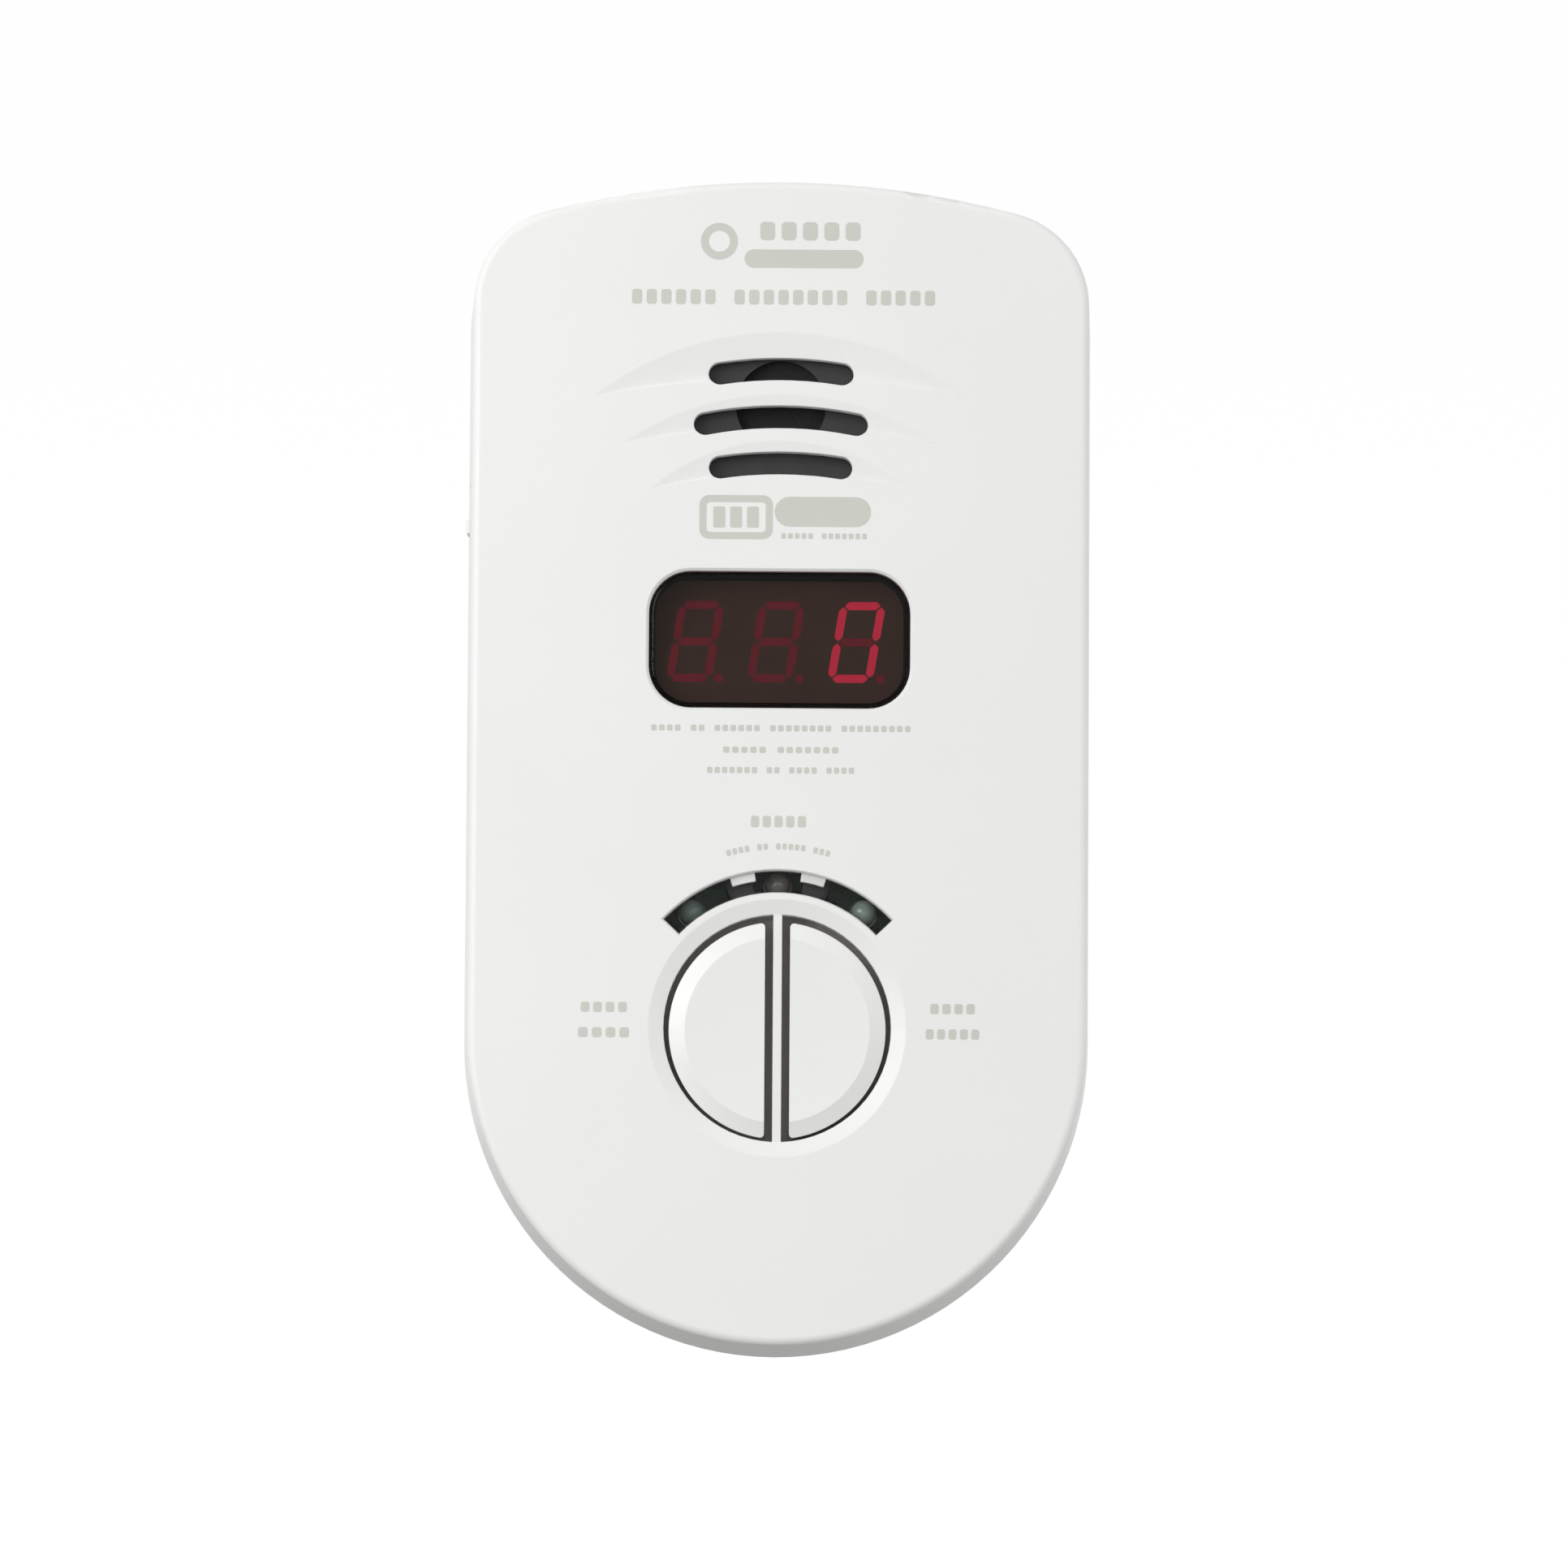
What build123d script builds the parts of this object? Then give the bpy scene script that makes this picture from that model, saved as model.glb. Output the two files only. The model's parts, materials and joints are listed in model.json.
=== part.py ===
from build123d import *
import math
import os

# Plug-in carbon monoxide alarm with a digital display and a sealed backup battery, in millimetres.
# Frame: +Z is up, the wall plate lies in the plane Y = 0 and the room is on the -Y side.
# The origin is midway between the two plug blades, on the rear face of the housing.
# A "depth" is a distance from the wall plane towards the room, so depth 36 is Y = -36.

# ---- Housing ----
WIDTH = 72.0
HEIGHT = 133.9
DEPTH = 36.0
TOP_Z = 51.15
TOP_RADIUS = 106.0
CORNER_RADIUS = 12.0
DRAFT = 1.2
WALL = 2.0
FRONT_EDGE_FILLET = 0.9
PARTING_DEPTH = 11.0
PARTING_GAP = 0.4
LIP_DEPTH = 13.0
LIP_THICKNESS = 1.2
LIP_CLEARANCE = 0.25
REAR_PLATE = 2.2
REAR_STEP = 0.25
REAR_EDGE_CHAMFER = 1.2

HALF_WIDTH = WIDTH / 2
BOTTOM_Z = TOP_Z - HEIGHT
MIDDLE_Z = TOP_Z - HEIGHT / 2
LOW_CENTRE_Z = BOTTOM_Z + HALF_WIDTH
FRONT_INSIDE = DEPTH - WALL

# ---- Circuit board ----
PCB_BACK = 22.4
PCB_THICKNESS = 1.6
PCB_FRONT = PCB_BACK + PCB_THICKNESS
PCB_INSET = 3.4

# ---- Sounder slots and the scoops they open in ----
SLOT_WIDTH = 2.6
SLOT_ARC_RADIUS = 44.0
SCOOP_SLOPE = 0.18
LIP_SLOPE = 0.85
SCOOP_BITE = 1.5
# Each row: slot centre above the middle, half the slot's chord, scoop's half chord, tip, peak and lip heights.
SLOTS = [
    (44.4, 6.9, 21.1, 41.2, 48.55, 43.05),
    (38.95, 8.55, 17.9, 35.8, 41.45, 37.55),
    (33.7, 6.8, 14.7, 30.65, 36.2, 32.3),
]

# ---- Sounder ----
SOUNDER_Z = MIDDLE_Z + 40.5
SOUNDER_RADIUS = 16.0
SOUND_HOLE_RADIUS = 5.1
SOUNDER_WALL = 1.4
HORN_BACK = 27.0
HORN_FACE = 33.5
HORN_INSIDE = 32.2
MESH_THICKNESS = 0.4
PIEZO_FRONT = 29.0
PIEZO_THICKNESS = 0.3
PIEZO_RADIUS = 13.5
CERAMIC_RADIUS = 10.0

# ---- Display ----
WINDOW_WIDTH = 29.5
WINDOW_HEIGHT = 15.5
WINDOW_CORNER = 4.75
WINDOW_Z = MIDDLE_Z + 13.65
OPENING_CHAMFER = 0.3
LENS_BACK = 32.8
LENS_FACE = DEPTH - 0.3
LENS_FLANGE = 1.2
MODULE_WIDTH = 28.2
MODULE_HEIGHT = 14.0
MODULE_FACE = 32.0
GASKET_MARGIN = 0.7
GASKET_RISE = 0.15
DIGIT_HEIGHT = 9.2
DIGIT_WIDTH = 5.2
DIGIT_PITCH = 9.13
DIGIT_X = -0.4
DIGIT_Z = WINDOW_Z + 0.1
DIGIT_SLANT = math.tan(math.radians(9.5))
SEGMENT_WIDTH = 0.92
SEGMENT_GAP = 0.12
SEGMENT_DEPTH = 0.5

# ---- Buttons and the status light arc above them ----
BUTTON_Z = MIDDLE_Z - 30.2
BUTTON_DROP = 0.25
BUTTON_HOLE_RADIUS = 12.8
BUTTON_RADIUS = 12.2
BUTTON_FLAT_X = 1.4
BUTTON_PLATEAU_RADIUS = 10.4
BUTTON_FACE = DEPTH + 0.15
BUTTON_RIM = DEPTH - 0.6
BUTTON_DISH = 0.35
BUTTON_WALL = 1.3
BUTTON_INSIDE = 34.4
BUTTON_FLANGE_RADIUS = 13.6
BUTTON_FLANGE_X = 0.45
BUTTON_FLANGE_BACK = 29.9
BUTTON_FLANGE_FRONT = 30.9
BUTTON_CORNER = 0.45
COLLAR_RADIUS = 14.0
COLLAR_BACK = 31.0
SEAL_THICKNESS = 0.5
SEAL_GAP = 0.08
BAR_WIDTH = 1.0
BUTTON_SINK_RADIUS = 14.5
PLUNGER_X = 7.0
PLUNGER_TOP = 29.0
SWITCH_TOP = 27.5
PLUNGER_RADIUS = 1.75
POST_GAP = 0.1
LIGHT_INNER_RADIUS = 15.3
LIGHT_OUTER_RADIUS = 17.75
LIGHT_HALF_ANGLE = 46.5
STRIP_BACK = 35.25
STRIP_FACE = DEPTH - 0.15
STRIP_GAP = 0.1
LEG_BACK = 33.2
LEG_LIP = 0.4
TAB_ANGLE = 13.2
TAB_HALF_ANGLE = 4.6
TAB_INNER_RADIUS = 16.75
BAFFLE_INNER_RADIUS = 14.2
BAFFLE_OUTER_RADIUS = 19.2
BAFFLE_HALF_ANGLE = 52.0
CELL_INNER_RADIUS = 14.7
CELL_OUTER_RADIUS = 18.4
LED_ORBIT = 16.5
LED_ANGLE = 36.0
LED_RADIUS = 1.5

# ---- Fasteners ----
CASE_SCREWS = [(25.5, 37.0), (-25.5, 37.0), (20.0, -66.0), (-20.0, -66.0)]
BOSS_RADIUS = 3.2
BOSS_HOLE = 1.5
PCB_SCREWS = [(0.0, 44.6), (27.0, -22.0), (-27.0, -22.0)]
PCB_BOSS_RADIUS = 2.5

# ---- Mains plug, two parallel blades ----
BLADE_SPACING = 12.7
BLADE_WIDTH = 6.35
BLADE_THICKNESS = 1.5
BLADE_LENGTH = 17.5
BLADE_HOLE_RADIUS = 1.75
BLADE_HOLE_FROM_FACE = 11.9
BLADE_TIP_CHAMFER = 1.6
INSERT_WIDTH = 26.0
INSERT_HEIGHT = 14.0

# ---- Battery, sensor and the battery slide switch ----
BATTERY_RADIUS = 8.5
BATTERY_LENGTH = 33.4
BATTERY_Z = -34.0
BATTERY_DEPTH = 11.4
SENSOR_Z = -62.0
SENSOR_RADIUS = 10.0
SLIDER_Z = MIDDLE_Z + 28.2
SLIDER_DEPTH = 16.0
SLIDER_TRAVEL = 3.0
SLIDER_PLATE_HALF = 5.0
SLIDER_PLATE_WIDTH = 4.4
SLIDER_STEM_HALF = 1.5
SLIDER_RIB_HALF = 0.8
SLIDER_RIB_PROUD = 0.35
FORK_X = -32.4
FORK_TIP_X = -30.9
WALL_LEAN = DRAFT / (DEPTH - PARTING_DEPTH)
SLIDER_FACE_X = WALL_LEAN * (SLIDER_DEPTH - PARTING_DEPTH) - HALF_WIDTH
CONNECTOR_X = 25.0
CONNECTOR_Z = -42.0

# ---- Rear label ----
LABEL_Z = -33.0
LABEL_WIDTH = 44.0
LABEL_HEIGHT = 26.0
LABEL_RECESS = 0.3
LABEL_THICKNESS = 0.18

MIN = (Align.CENTER, Align.CENTER, Align.MIN)


def at(depth):
    """Plane parallel to the wall at a depth, whose sketch x is X and sketch y is Z."""
    return Plane.XZ.offset(depth)


def slab(sketch, low, high):
    """A sketch given thickness between two depths."""
    return extrude(at(low) * sketch, amount=high - low)


def rod(x, z, radius, low, high):
    return slab(Pos(x, z) * Circle(radius), low, high)


def block(x, z, width, height, low, high):
    return slab(Pos(x, z) * Rectangle(width, height), low, high)


def cone(x, z, low_radius, high_radius, low, high):
    """Cone along the depth axis, from one radius at the low depth to another at the high one."""
    return at(low) * Pos(x, z) * Cone(low_radius, high_radius, high - low, align=MIN)


def outline(inset=0.0):
    """Housing outline moved inwards: bowed top, rounded shoulders, straight sides, half-round bottom."""
    half = HALF_WIDTH - inset
    corner_x = HALF_WIDTH - CORNER_RADIUS
    reach = TOP_RADIUS - CORNER_RADIUS
    rise = math.sqrt(reach**2 - corner_x**2)
    arc_centre_z = TOP_Z - TOP_RADIUS
    corner_z = arc_centre_z + rise
    turn = math.atan2(rise, corner_x)
    top_radius = TOP_RADIUS - inset
    shoulder = (top_radius * math.cos(turn), arc_centre_z + top_radius * math.sin(turn))
    small = CORNER_RADIUS - inset
    knee = (corner_x + small * math.cos(turn / 2), corner_z + small * math.sin(turn / 2))
    edges = [
        ThreePointArc((-shoulder[0], shoulder[1]), (0, TOP_Z - inset), shoulder),
        ThreePointArc(shoulder, knee, (half, corner_z)),
        Line((half, corner_z), (half, LOW_CENTRE_Z)),
        ThreePointArc((half, LOW_CENTRE_Z), (0, BOTTOM_Z + inset), (-half, LOW_CENTRE_Z)),
        Line((-half, LOW_CENTRE_Z), (-half, corner_z)),
        ThreePointArc((-half, corner_z), (-knee[0], knee[1]), (-shoulder[0], shoulder[1])),
    ]
    return make_face(edges)


def tapered(low_inset, low, high_inset, high):
    """Solid between two insets of the housing outline at two depths."""
    return loft([at(low) * outline(low_inset), at(high) * outline(high_inset)], ruled=True)


def sector(inner, outer, start, end):
    """Piece of a ring, with angles in degrees measured clockwise from straight up."""

    def point(radius, angle):
        turn = math.radians(90 - angle)
        return (radius * math.cos(turn), radius * math.sin(turn))

    middle = (start + end) / 2
    edges = [
        ThreePointArc(point(outer, start), point(outer, middle), point(outer, end)),
        Line(point(outer, end), point(inner, end)),
        ThreePointArc(point(inner, end), point(inner, middle), point(inner, start)),
        Line(point(inner, start), point(outer, start)),
    ]
    return make_face(edges)


def around_button(sketch):
    """A sketch drawn about the button centre, moved to its place."""
    return Pos(0, BUTTON_Z) * sketch


def opening(sketch, wider_sketch, low):
    """Cutter for a hole through the front wall, chamfered where it meets the face."""
    chamfer_low = DEPTH - OPENING_CHAMFER
    mouth = loft([at(chamfer_low) * sketch, at(DEPTH) * wider_sketch], ruled=True)
    return slab(sketch, low, DEPTH + 1) + mouth


def half_disc(radius, flat_x, side):
    """Half of a circle, cut by an upright flat; side is +1 for the right half."""
    keep = Pos(side * (flat_x + radius), 0) * Rectangle(2 * radius, 2.2 * radius)
    return Circle(radius) & keep


# ---- Front cover ----


def slot_shape(height, half_chord):
    """Curved sound slot with round ends."""
    turn = math.degrees(math.asin(half_chord / SLOT_ARC_RADIUS))
    centre = (0, height - SLOT_ARC_RADIUS)
    arc = CenterArc(centre, SLOT_ARC_RADIUS, 90 - turn, 2 * turn)
    return SlotArc(arc, SLOT_WIDTH)


def scoop(half_chord, tip, peak, lip):
    """Crescent scoop: slopes in from its upper arc and ends at a short lip along its lower arc."""
    upper = (half_chord**2 + (peak - tip) ** 2) / (2 * (peak - tip))
    lower = (half_chord**2 + (lip - tip) ** 2) / (2 * (lip - tip))
    low = DEPTH - SCOOP_BITE
    high = DEPTH + 0.5
    slope_in = cone(
        0,
        MIDDLE_Z + peak - upper,
        upper - SCOOP_BITE / SCOOP_SLOPE,
        upper + 0.5 / SCOOP_SLOPE,
        low,
        high,
    )
    keep = cone(
        0,
        MIDDLE_Z + lip - lower,
        lower + SCOOP_BITE * LIP_SLOPE,
        lower - 0.5 * LIP_SLOPE,
        low - 0.1,
        high + 0.1,
    )
    return slope_in - keep


def window_shape(margin):
    """Rounded window of the display, enlarged all round by a margin."""
    width = WINDOW_WIDTH + 2 * margin
    height = WINDOW_HEIGHT + 2 * margin
    return Pos(0, WINDOW_Z) * RectangleRounded(width, height, WINDOW_CORNER + margin)


def light_shape(margin):
    """Curved opening over the status lights, enlarged all round by a margin."""
    angle = LIGHT_HALF_ANGLE + math.degrees(margin / LIGHT_INNER_RADIUS)
    shape = sector(LIGHT_INNER_RADIUS - margin, LIGHT_OUTER_RADIUS + margin, -angle, angle)
    return around_button(shape)


def front_cover():
    shell = tapered(0, PARTING_DEPTH, DRAFT, DEPTH)
    rim = shell.faces().sort_by(Axis.Y)[0].edges()
    shell = fillet(rim, FRONT_EDGE_FILLET)
    hollow = tapered(WALL, PARTING_DEPTH, WALL + DRAFT, FRONT_INSIDE)
    cover = shell - hollow
    for x, z in CASE_SCREWS:
        cover = cover + rod(x, z, BOSS_RADIUS, PARTING_DEPTH, FRONT_INSIDE + 0.5)
    for x, z in PCB_SCREWS:
        cover = cover + rod(x, z, PCB_BOSS_RADIUS, PCB_FRONT, FRONT_INSIDE + 0.5)
    sounder_ring = Circle(SOUNDER_RADIUS + 1.2) - Circle(SOUNDER_RADIUS + 0.2)
    cover = cover + slab(Pos(0, SOUNDER_Z) * sounder_ring, 30.0, FRONT_INSIDE + 0.5)
    cover = cover + rod(0, BUTTON_Z, COLLAR_RADIUS, COLLAR_BACK, FRONT_INSIDE + 0.5)

    for height, half_chord, scoop_half, tip, peak, lip in SLOTS:
        cover = cover - scoop(scoop_half, tip, peak, lip)
        cover = cover - slab(slot_shape(MIDDLE_Z + height, half_chord), FRONT_INSIDE - 1, DEPTH + 1)
    cover = cover - opening(window_shape(0), window_shape(OPENING_CHAMFER), FRONT_INSIDE - 1)

    sink_slope = (BUTTON_SINK_RADIUS - BUTTON_HOLE_RADIUS) / (DEPTH - BUTTON_RIM)
    cover = cover - cone(
        0,
        BUTTON_Z,
        BUTTON_HOLE_RADIUS,
        BUTTON_SINK_RADIUS + 0.5 * sink_slope,
        BUTTON_RIM,
        DEPTH + 0.5,
    )
    holes = Circle(BUTTON_HOLE_RADIUS) - Rectangle(BAR_WIDTH, 2 * BUTTON_SINK_RADIUS)
    cover = cover - slab(around_button(holes), COLLAR_BACK - 1, DEPTH + 1)
    cover = cover - opening(light_shape(0), light_shape(OPENING_CHAMFER / 2), FRONT_INSIDE - 1)
    for side in (-1, 1):
        first = side * TAB_ANGLE - TAB_HALF_ANGLE
        last = side * TAB_ANGLE + TAB_HALF_ANGLE
        tab = sector(TAB_INNER_RADIUS, LIGHT_OUTER_RADIUS + 0.2, first, last)
        cover = cover + slab(around_button(tab), FRONT_INSIDE, STRIP_BACK - 0.05)

    for x, z in CASE_SCREWS:
        cover = cover - rod(x, z, BOSS_HOLE, PARTING_DEPTH - 1, PARTING_DEPTH + 14)
    for x, z in PCB_SCREWS:
        cover = cover - rod(x, z, 1.05, PCB_FRONT - 1, PCB_FRONT + 7.5)
    return cover - slider_recess()


# ---- Battery slide switch, in the left wall ----

def side_block(x_low, x_high, z_low, z_high, width):
    """Box in the left wall, centred on the slider's depth."""
    box = Box(x_high - x_low, width, z_high - z_low)
    centre = ((x_low + x_high) / 2, -SLIDER_DEPTH, (z_low + z_high) / 2)
    return Pos(*centre) * box


def slider_recess():
    """Pocket that the slider plate runs in, and the slot for its stem."""
    outside = -HALF_WIDTH - 1
    low = SLIDER_Z - SLIDER_PLATE_HALF - SLIDER_TRAVEL - 0.1
    high = SLIDER_Z + SLIDER_PLATE_HALF + 0.1
    pocket = side_block(outside, SLIDER_FACE_X + 0.95, low, high, SLIDER_PLATE_WIDTH + 0.3)
    stem_low = SLIDER_Z - SLIDER_STEM_HALF - SLIDER_TRAVEL - 0.1
    stem_high = SLIDER_Z + SLIDER_STEM_HALF + 0.1
    slot = side_block(outside, FORK_TIP_X, stem_low, stem_high, 2.8)
    return pocket + slot


def switch_slider():
    """Plate with a thumb rib outside and a forked stem that reaches the switch."""
    plate_face = SLIDER_FACE_X + 0.3
    plate_low = SLIDER_Z - SLIDER_PLATE_HALF
    plate_high = SLIDER_Z + SLIDER_PLATE_HALF
    plate = side_block(plate_face, SLIDER_FACE_X + 0.9, plate_low, plate_high, SLIDER_PLATE_WIDTH)
    rib_low = SLIDER_Z - SLIDER_RIB_HALF
    rib_high = SLIDER_Z + SLIDER_RIB_HALF
    rib_top = SLIDER_FACE_X - SLIDER_RIB_PROUD
    rib = side_block(rib_top, plate_face + 0.2, rib_low, rib_high, SLIDER_PLATE_WIDTH - 0.4)
    rib = fillet(rib.faces().sort_by(Axis.X)[0].edges(), 0.35)
    stem_low = SLIDER_Z - SLIDER_STEM_HALF
    stem_high = SLIDER_Z + SLIDER_STEM_HALF
    stem = side_block(plate_face + 0.2, FORK_TIP_X, stem_low, stem_high, 2.4)
    fork = side_block(FORK_X, FORK_TIP_X + 1, rib_low, rib_high, 3.0)
    slider = plate + rib + stem - fork
    for step in (-3.6, -2.4, 2.4, 3.6):
        z = SLIDER_Z + step
        slider = slider - side_block(plate_face - 1, plate_face + 0.15, z - 0.2, z + 0.2, 6.0)
    return slider


def switch_actuator():
    """Lever of the slide switch, held between the slider's fork."""
    half = SLIDER_RIB_HALF - 0.05
    return side_block(FORK_X + 0.1, -27.6, SLIDER_Z - half, SLIDER_Z + half, 1.5)


def switch_body():
    """Case of the slide switch, with the window that its lever moves in."""
    body = block(-28.2, SLIDER_Z - SLIDER_TRAVEL / 2, 3.6, 9.4, 12.8, PCB_BACK)
    low = SLIDER_Z - SLIDER_TRAVEL - 0.9
    window = side_block(-31.0, -27.2, low, SLIDER_Z + 0.9, 1.8)
    return body - window


# ---- Rear cover ----


def rear_cover():
    tray = slab(outline(REAR_STEP), 0, PARTING_DEPTH - PARTING_GAP)
    back_edges = tray.faces().sort_by(Axis.Y)[-1].edges()
    tray = chamfer(back_edges, REAR_EDGE_CHAMFER)
    tray = tray - slab(outline(REAR_STEP + WALL), REAR_PLATE, PARTING_DEPTH)
    lip_outside = WALL + LIP_CLEARANCE
    lip = outline(lip_outside) - outline(lip_outside + LIP_THICKNESS)
    cover = tray + slab(lip, REAR_PLATE - 0.5, LIP_DEPTH)
    for x, z in CASE_SCREWS:
        cover = cover + rod(x, z, 4.2, REAR_PLATE - 0.5, PARTING_DEPTH - 0.1)
    for x in (-11.0, 11.0):
        cradle = block(x, BATTERY_Z, 1.6, 20.0, REAR_PLATE - 0.5, BATTERY_DEPTH)
        cover = cover + (cradle - battery_bore())
    fence = RectangleRounded(INSERT_WIDTH + 7.4, INSERT_HEIGHT + 7.4, 3.0)
    fence = fence - RectangleRounded(INSERT_WIDTH + 4.6, INSERT_HEIGHT + 4.6, 2.0)
    cover = cover + slab(fence, REAR_PLATE - 0.5, 6.0)

    for x, z in CASE_SCREWS:
        cover = cover - rod(x, z, 2.9, -1, 3.0)
        cover = cover - rod(x, z, 1.6, -1, PARTING_DEPTH)
    opening = RectangleRounded(INSERT_WIDTH + 0.2, INSERT_HEIGHT + 0.2, 3.1)
    cover = cover - slab(opening, -1, REAR_PLATE + 1)
    cover = cover - block(0, LABEL_Z, LABEL_WIDTH + 0.6, LABEL_HEIGHT + 0.6, -1, LABEL_RECESS)
    for z in (-68.0, -65.0, -62.0, -59.0, -56.0):
        cover = cover - slab(Pos(0, z) * SlotOverall(15.0, 1.4), -1, REAR_PLATE + 1)
    for z in (28.0, 31.0, 34.0):
        cover = cover - slab(Pos(0, z) * SlotOverall(20.0, 1.4), -1, REAR_PLATE + 1)
    return cover


def battery_bore():
    """Room for the cell, lying along X."""
    bore = Cylinder(BATTERY_RADIUS + 0.2, 60.0, rotation=(0, 90, 0))
    return Pos(0, -BATTERY_DEPTH, BATTERY_Z) * bore


def rating_label():
    label = Pos(0, LABEL_Z) * RectangleRounded(LABEL_WIDTH, LABEL_HEIGHT, 1.5)
    return slab(label, LABEL_RECESS - LABEL_THICKNESS - 0.02, LABEL_RECESS - 0.02)


def case_screws():
    """Pan-head thread-forming screws that join the covers."""
    screws = []
    for x, z in CASE_SCREWS:
        head = rod(x, z, 2.7, 1.0, 2.95)
        head = fillet(head.faces().sort_by(Axis.Y)[-1].edges(), 0.7)
        cross = block(x, z, 3.2, 0.7, 0.5, 2.1) + block(x, z, 0.7, 3.2, 0.5, 2.1)
        screws.append(head + rod(x, z, 1.4, 2.5, 18.0) - cross)
    return Compound(screws)


def pcb_screws():
    screws = []
    for x, z in PCB_SCREWS:
        head = rod(x, z, 2.1, PCB_BACK - 1.4, PCB_BACK)
        cross = block(x, z, 2.4, 0.6, PCB_BACK - 2, PCB_BACK - 0.8)
        cross = cross + block(x, z, 0.6, 2.4, PCB_BACK - 2, PCB_BACK - 0.8)
        screws.append(head + rod(x, z, 1.0, PCB_BACK - 0.5, PCB_FRONT + 6.5) - cross)
    return Compound(screws)


# ---- Mains plug ----


def plug_blades():
    """Two flat blades with a hole near each tip."""
    blades = []
    for side in (-1, 1):
        x = side * BLADE_SPACING / 2
        blade = block(x, 0, BLADE_THICKNESS, BLADE_WIDTH, -BLADE_LENGTH, 14.0)
        tip = blade.faces().sort_by(Axis.Y)[-1]
        blade = chamfer(tip.edges().filter_by(Axis.X), BLADE_TIP_CHAMFER)
        tip = blade.faces().sort_by(Axis.Y)[-1]
        blade = chamfer(tip.edges().filter_by(Axis.Z), 0.45)
        hole = Cylinder(BLADE_HOLE_RADIUS, 10.0, rotation=(0, 90, 0))
        blades.append(blade - Pos(x, BLADE_HOLE_FROM_FACE, 0) * hole)
    return Compound(blades)


def plug_insert():
    """Insulating block that carries the blades and closes the opening in the rear cover."""
    plug = slab(RectangleRounded(INSERT_WIDTH, INSERT_HEIGHT, 3.0), 0, REAR_PLATE)
    flange = slab(RectangleRounded(INSERT_WIDTH + 4, INSERT_HEIGHT + 4, 2.0), REAR_PLATE, 4.4)
    core = slab(RectangleRounded(20.0, 10.0, 1.0), 4.4, 9.0)
    insert = plug + flange + core
    for side in (-1, 1):
        x = side * BLADE_SPACING / 2
        insert = insert - block(x, 0, BLADE_THICKNESS + 0.1, BLADE_WIDTH + 0.1, -1, 10)
    return insert


def blade_contacts():
    """Bronze strips that press on the blades and are soldered to the board."""
    strips = []
    for side in (-1, 1):
        inner = BLADE_SPACING / 2 + BLADE_THICKNESS / 2 + 0.02
        x = side * (inner + 0.25)
        strips.append(block(x, 0, 0.5, 4.0, 9.2, PCB_BACK))
        strips[-1] = strips[-1] + block(x, 0, 0.5, 1.6, PCB_BACK - 0.5, PCB_FRONT - 0.2)
    return Compound(strips)


# ---- Circuit board and what is soldered to it ----


def main_pcb():
    board = slab(outline(PCB_INSET), PCB_BACK, PCB_FRONT)
    for x, z in CASE_SCREWS:
        board = board - rod(x, z, BOSS_RADIUS + 0.6, PCB_BACK - 1, PCB_FRONT + 1)
    for x, z in PCB_SCREWS:
        board = board - rod(x, z, 1.2, PCB_BACK - 1, PCB_FRONT + 1)
    for side in (-1, 1):
        x = side * (BLADE_SPACING / 2 + BLADE_THICKNESS / 2 + 0.27)
        board = board - block(x, 0, 0.8, 1.9, PCB_BACK - 1, PCB_FRONT + 1)
    for x, z in through_pins():
        board = board - rod(x, z, 0.45, PCB_BACK - 1, PCB_FRONT + 1)
    return board


def display_pin_places():
    """Two rows of pins, above and below the digits."""
    return [(-12.7 + 2.54 * i, WINDOW_Z + side * 5.08) for i in range(11) for side in (-1, 1)]


def sensor_pin_places():
    return [(5.5 * math.cos(t), SENSOR_Z + 5.5 * math.sin(t)) for t in (0.5, 2.6, 4.7)]


def switch_pin_places():
    places = []
    for side in (-1, 1):
        for dx in (-3.25, 3.25):
            for dz in (-2.25, 2.25):
                places.append((side * PLUNGER_X + dx, BUTTON_Z + dz))
    return places


def led_places():
    places = []
    for angle in (-LED_ANGLE, 0, LED_ANGLE):
        turn = math.radians(90 - angle)
        places.append((LED_ORBIT * math.cos(turn), BUTTON_Z + LED_ORBIT * math.sin(turn)))
    return places


def led_pin_places():
    return [(x + dx, z) for x, z in led_places() for dx in (-0.9, 0.9)]


def through_pins():
    pins = display_pin_places() + sensor_pin_places() + switch_pin_places()
    return pins + led_pin_places()


def display_pins():
    pins = [rod(x, z, 0.25, PCB_BACK - 1.2, PCB_FRONT + 0.5) for x, z in display_pin_places()]
    return Compound(pins)


def slanted(points, centre_x):
    """Points of a digit, leaned to the right by the display's slant."""
    return [(centre_x + x + z * DIGIT_SLANT, DIGIT_Z + z) for x, z in points]


def bar_points(x0, z0, x1, z1):
    """Hexagonal bar between two points of a digit, along X or along Z."""
    half = SEGMENT_WIDTH / 2
    gap = SEGMENT_GAP
    if z0 == z1:
        a, b = x0 + gap, x1 - gap
        return [(a, z0), (a + half, z0 + half), (b - half, z0 + half),
                (b, z0), (b - half, z0 - half), (a + half, z0 - half)]
    a, b = z0 + gap, z1 - gap
    return [(x0, a), (x0 + half, a + half), (x0 + half, b - half),
            (x0, b), (x0 - half, b - half), (x0 - half, a + half)]


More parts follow.
